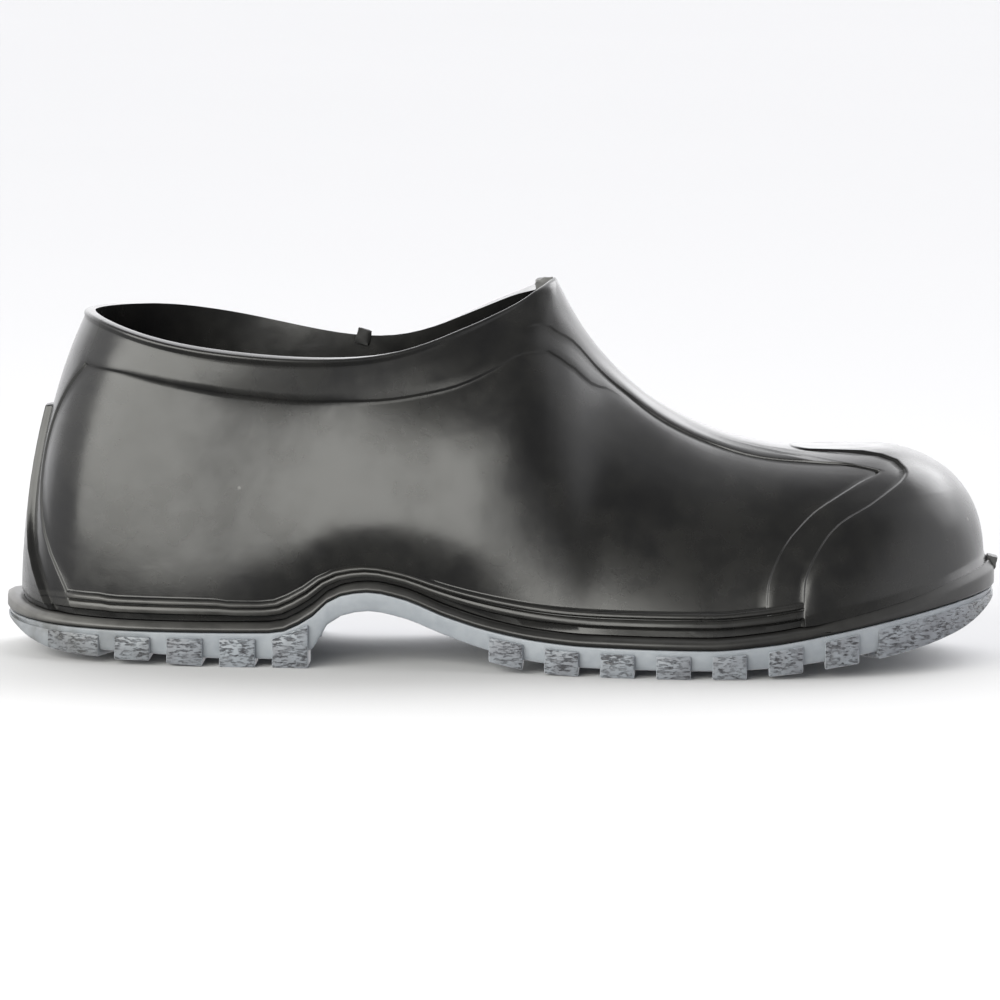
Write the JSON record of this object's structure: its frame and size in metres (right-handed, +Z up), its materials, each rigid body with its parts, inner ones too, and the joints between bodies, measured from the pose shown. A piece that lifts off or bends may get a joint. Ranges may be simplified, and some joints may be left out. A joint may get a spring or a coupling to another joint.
{
  "type": "overshoe",
  "caption": "Low slip-on rubber overshoe for the right foot, with a moulded black upper, raised toe cap and collar band, black midsole flange and pale cleated outsole.",
  "frame": {"origin": "centre of the bounding box in plan, on the floor that the tread stands on", "axes": "+X from heel to toe, +Y towards the inner side of the right foot, +Z up"},
  "size_m": [0.312, 0.1135, 0.1187],
  "materials": {
    "upper_rubber": "black moulded rubber with a satin gloss",
    "midsole_rubber": "black moulded rubber with a satin gloss",
    "outsole_rubber": "pale bluish-grey rubber, slightly translucent, with speckled cleat sides"
  },
  "bodies": {
    "root": {"upper": "upper_rubber", "midsole": "midsole_rubber", "outsole": "outsole_rubber"}
  },
  "joints": []
}
